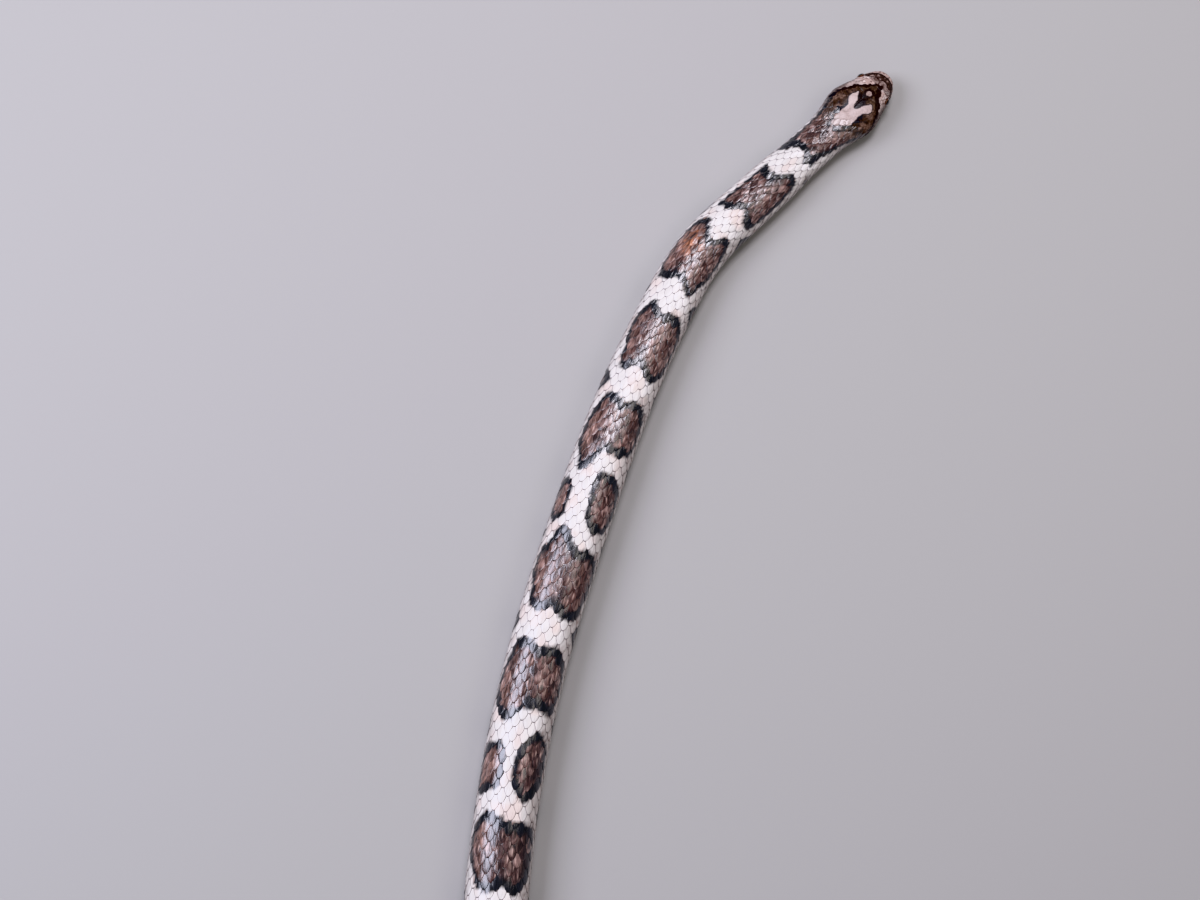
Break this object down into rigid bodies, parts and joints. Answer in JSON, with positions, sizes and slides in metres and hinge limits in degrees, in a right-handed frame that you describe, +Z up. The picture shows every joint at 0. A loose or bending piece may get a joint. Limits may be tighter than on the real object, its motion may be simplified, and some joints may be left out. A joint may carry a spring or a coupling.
{
  "type": "milk snake, still life-size model",
  "caption": "Slender blotched snake lying in loose curves on the floor, with a blunt head, small eyes, plated crown and belly and a tapered tail.",
  "frame": {"origin": "the floor under the middle of the whole animal's box", "axes": "+Z up, +Y towards the top of the picture and the head end, +X to the picture's right"},
  "size_m": [0.1441, 0.5345, 0.0137],
  "materials": {
    "head_shields": "smooth horny shields, satin",
    "body_scales": "smooth lapping scales, satin, with reddish brown black-edged saddles on pale grey",
    "eye": "wet, glossy"
  },
  "bodies": {
    "root": {"head": "head_shields", "eye_left": "eye", "eye_right": "eye", "neck": "body_scales", "body_1": "body_scales", "body_2": "body_scales", "body_3": "body_scales", "body_4": "body_scales", "body_5": "body_scales", "body_6": "body_scales", "body_7": "body_scales", "body_8": "body_scales", "tail_1": "body_scales", "tail_2": "body_scales"}
  },
  "joints": []
}
